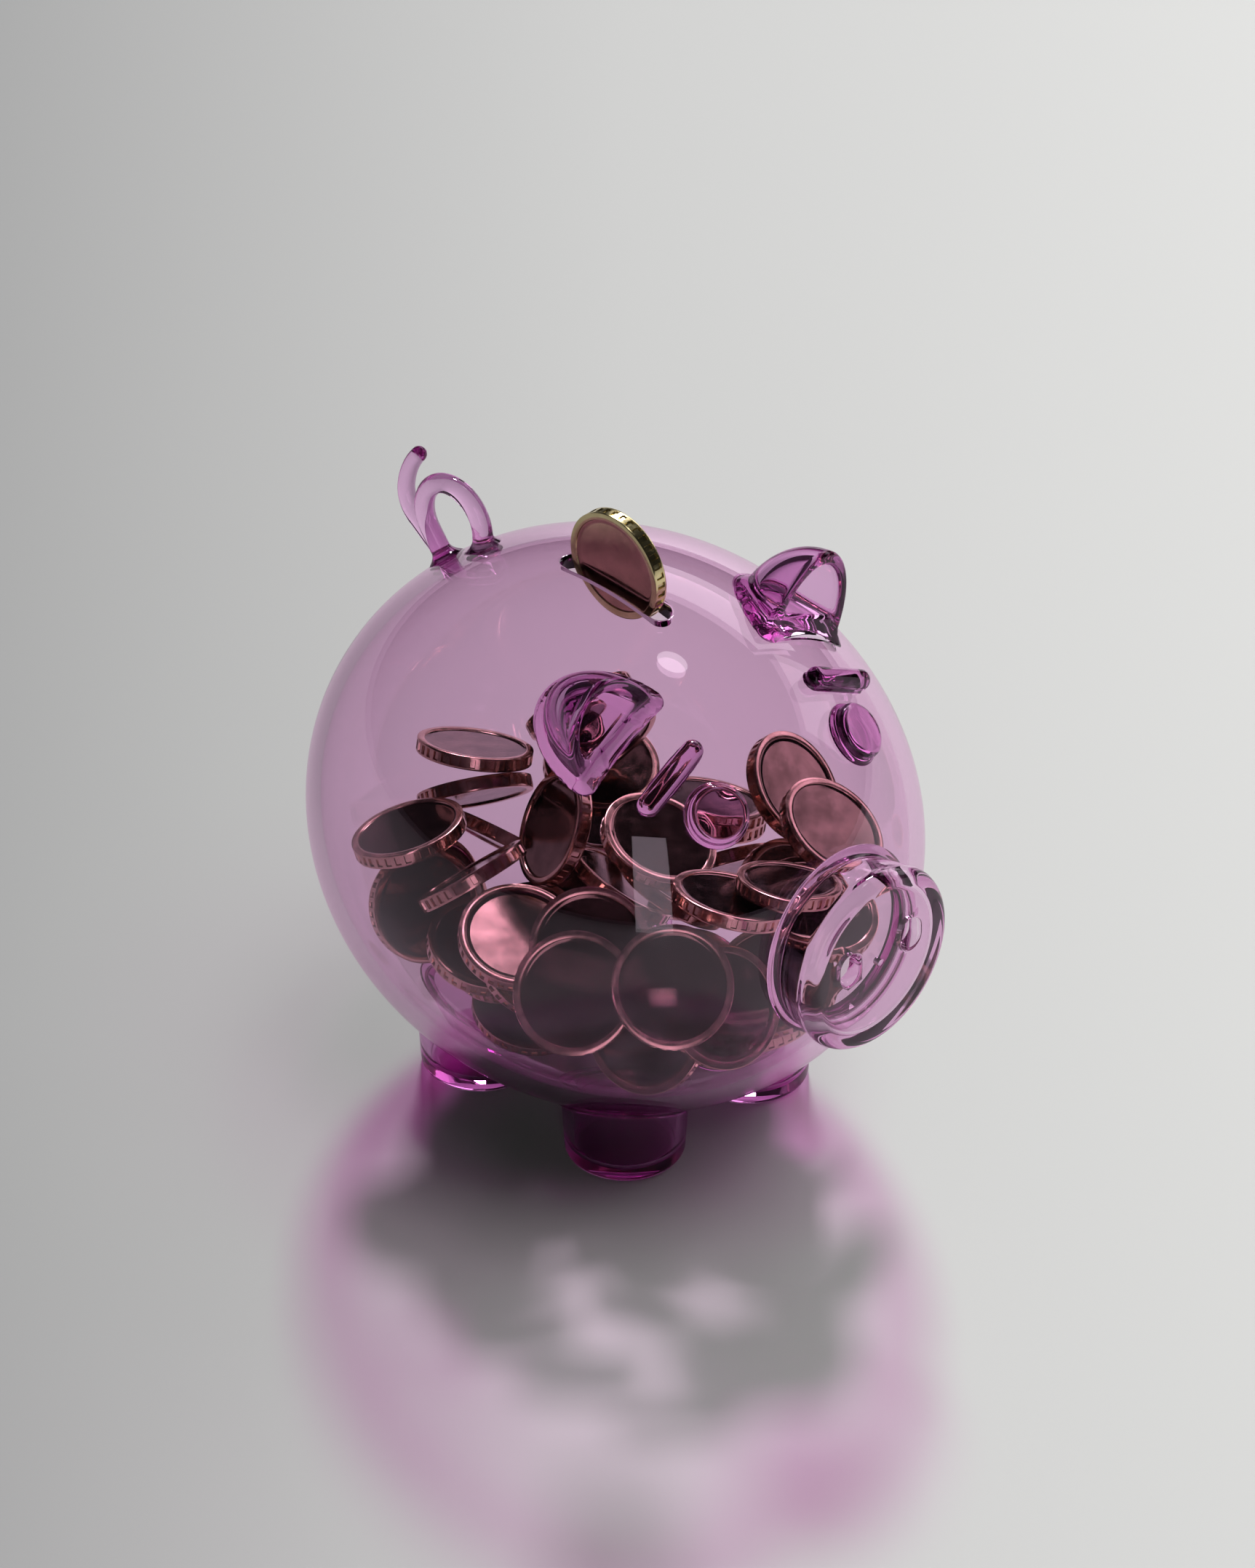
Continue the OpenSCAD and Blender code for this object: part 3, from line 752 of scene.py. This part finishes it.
# ------------------------------------------------------------------ the object
def make_object():
    make_body_shell()
    make_snout()
    for side in (1, -1):
        make_ear(side)
        make_eye(side)
        make_brow(side)
    for node in ("foot_front_left", "foot_front_right", "foot_rear_left", "foot_rear_right"):
        make_foot(node)
    make_tail()
    struck = coin_mesh("struck_copper", dark_copper, bright_copper)
    heap = sorted(node for node in frame["nodes"] if node.startswith("coin_"))
    for number, node in enumerate(heap):
        body = frame["nodes"][node]["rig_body"]
        make_coin(node, struck, body, number * COIN_TURN)
    make_coin("slot_coin", coin_mesh("struck_gold", copper, gold), "slot_coin", 0)


# ------------------------------------------------------------------ stage
CAMERA_AZIMUTH, CAMERA_ELEVATION = math.radians(44.93), math.radians(36.16)
CAMERA_DISTANCE = 2.252
CAMERA_RIGHT, CAMERA_UP = 2.5 * MM, 6.4 * MM
LENS_MM = 334
# Metres: the floor's side, how far it lies under the feet, and half the width of its painted
# shading, which is dark at the left and light at the right as if lit from the right.
FLOOR_SIZE, FLOOR_DROP, FLOOR_PAINTED_SHADE = 12, 0.2 * MM, 0.14
# The coin of the heap whose face catches a small lamp of its own.
GLINT_COIN = "coin_27"


def direction(azimuth, elevation):
    """The way out from the middle at an azimuth, counted from -Y towards +X, and an elevation."""
    return Vector((math.sin(azimuth) * math.cos(elevation),
                   -math.cos(azimuth) * math.cos(elevation), math.sin(elevation)))


def lamp_way(azimuth, elevation):
    return direction(math.radians(azimuth), math.radians(elevation))


def make_camera():
    data = bpy.data.cameras.new("camera")
    data.sensor_fit = "HORIZONTAL"
    data.sensor_width = 36
    data.lens = LENS_MM
    data.clip_end = 20
    camera = placed("camera", data)
    back = direction(CAMERA_AZIMUTH, CAMERA_ELEVATION)
    turn = back.to_track_quat("Z", "Y")
    right, up = turn @ Vector((1, 0, 0)), turn @ Vector((0, 1, 0))
    aim = right * CAMERA_RIGHT + up * CAMERA_UP
    camera.location = Vector(CENTRE) + back * CAMERA_DISTANCE + aim
    camera.rotation_euler = turn.to_euler()
    bpy.context.scene.camera = camera


def make_lamp(name, way, distance, size, power, target=CENTRE, shape="RECTANGLE"):
    """An area lamp at a distance from its target, turned to face it."""
    data = bpy.data.lights.new(name, "AREA")
    data.shape = shape
    data.size, data.size_y = size
    data.energy = power
    lamp = placed(name, data)
    lamp.location = Vector(target) + way * distance
    lamp.rotation_euler = way.to_track_quat("Z", "Y").to_euler()
    return lamp


def mirror_way(axis):
    """Where a flat face with this axis sends the camera's line of sight."""
    to_camera = np.array(direction(CAMERA_AZIMUTH, CAMERA_ELEVATION))
    return Vector(2 * axis.dot(to_camera) * axis - to_camera)


def make_floor():
    made, nodes, links = node_material("pale_floor_painted_falloff")
    out = nodes.new("ShaderNodeOutputMaterial")
    shader = nodes.new("ShaderNodeBsdfPrincipled")
    shader.inputs["Roughness"].default_value = 0.6
    shader.inputs["Specular IOR Level"].default_value = 0.2
    place = nodes.new("ShaderNodeTexCoord")
    mapping = nodes.new("ShaderNodeMapping")
    mapping.inputs["Rotation"].default_value = (0, 0, math.radians(-45))
    split = nodes.new("ShaderNodeSeparateXYZ")
    spread = nodes.new("ShaderNodeMapRange")
    spread.inputs["From Min"].default_value = -FLOOR_PAINTED_SHADE
    spread.inputs["From Max"].default_value = FLOOR_PAINTED_SHADE
    links.new(place.outputs["Object"], mapping.inputs["Vector"])
    links.new(mapping.outputs["Vector"], split.inputs["Vector"])
    links.new(split.outputs["X"], spread.inputs["Value"])
    # Painted light and shade: the floor's colour runs from dark at the left to light at the right
    # of the camera's view, standing in for light that falls off from the right.
    shade = ramp(nodes, links, spread.outputs["Result"],
                 [(0, (0.38, 0.38, 0.38)), (0.5, (0.63, 0.63, 0.622)), (1, (0.765, 0.765, 0.752))])
    links.new(shade, shader.inputs["Base Color"])
    links.new(shader.outputs["BSDF"], out.inputs["Surface"])
    mesh = bpy.data.meshes.new("floor")
    half, level = FLOOR_SIZE / 2, -FLOOR_DROP
    corners = [(-half, -half, level), (half, -half, level),
               (half, half, level), (-half, half, level)]
    mesh.from_pydata(corners, [], [(0, 1, 2, 3)])
    mesh.materials.append(made)
    floor = placed("floor", mesh)


def make_light():
    world = bpy.data.worlds.new("studio")
    world.use_nodes = True
    world.node_tree.nodes["Background"].inputs["Color"].default_value = (1, 1, 1, 1)
    world.node_tree.nodes["Background"].inputs["Strength"].default_value = 0.012
    bpy.context.scene.world = world
    make_lamp("key", lamp_way(225, 40), 12, (1.5, 1.5), 1090)
    make_lamp("back_softbox", lamp_way(202, 28), 5, (2.8, 1.5), 30)
    make_lamp("side_softbox", lamp_way(168, 22), 5, (2.2, 1.6), 17)
    make_lamp("front_strip", lamp_way(46, 13), 1.3, (0.30, 1.1), 1.6)
    glint_middle, glint_axis = place_of(GLINT_COIN)
    make_lamp("coin_glint", mirror_way(glint_axis), 2, (0.3, 0.3), 1.3, glint_middle, "ELLIPSE")
    fill = make_lamp("fill", lamp_way(120, 70), 5, (3, 3), 75)
    fill.visible_glossy = False
    fill.visible_transmission = False


make_camera()
make_object()
make_floor()
make_light()
bpy.context.scene.view_settings.view_transform = "Standard"
cycles = bpy.context.scene.cycles
cycles.max_bounces = 40
cycles.transmission_bounces = 40
cycles.transparent_max_bounces = 60
cycles.glossy_bounces = 12
cycles.caustics_reflective = False
cycles.caustics_refractive = False
